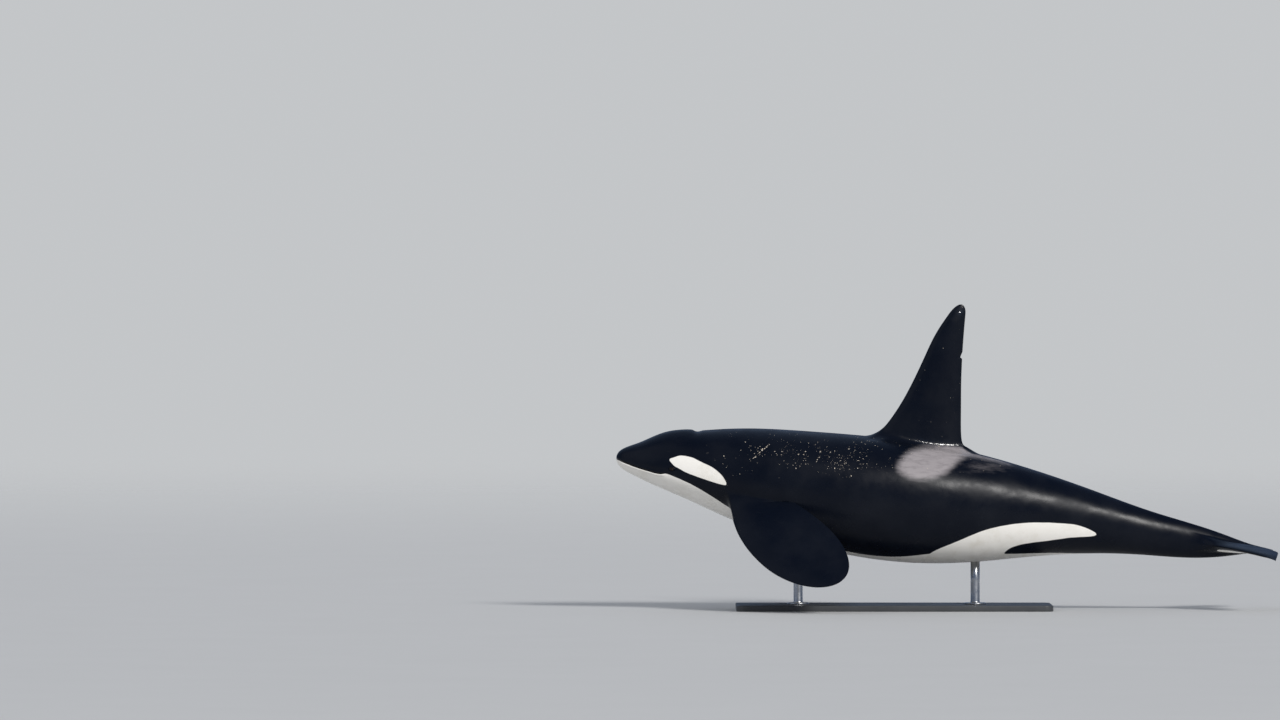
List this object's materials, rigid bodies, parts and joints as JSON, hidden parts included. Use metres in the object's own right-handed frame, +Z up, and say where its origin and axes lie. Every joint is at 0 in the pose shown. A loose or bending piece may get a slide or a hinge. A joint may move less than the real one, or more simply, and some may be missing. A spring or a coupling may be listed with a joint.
{
  "type": "orca model",
  "caption": "Life-size still model of an adult male orca swimming level at the surface, with a tall straight dorsal fin, held by a flat base and rods.",
  "frame": {"origin": "middle of the underside of the stand's base", "axes": "+Z up, snout toward -X and flukes toward +X, the animal's left side toward -Y"},
  "size_m": [6.8903, 2.8802, 3.187],
  "materials": {
    "black_skin": "wet, smooth skin, near black with white patches and a grey saddle",
    "white_skin": "wet, smooth skin, white under the chin and throat",
    "eye": "wet and glossy, dark brown",
    "base_paint": "satin dark grey paint",
    "rod_steel": "brushed"
  },
  "bodies": {
    "root": {"head": "black_skin", "lower_jaw": "white_skin", "eye_left": "eye", "eye_right": "eye", "chest": "black_skin", "loin": "black_skin", "tail_stock": "black_skin", "dorsal_fin": "black_skin", "flipper_left": "black_skin", "flipper_right": "black_skin", "fluke_left": "black_skin", "fluke_right": "black_skin", "stand_base": "base_paint", "stand_rod_front": "rod_steel", "stand_rod_rear": "rod_steel"}
  },
  "joints": []
}
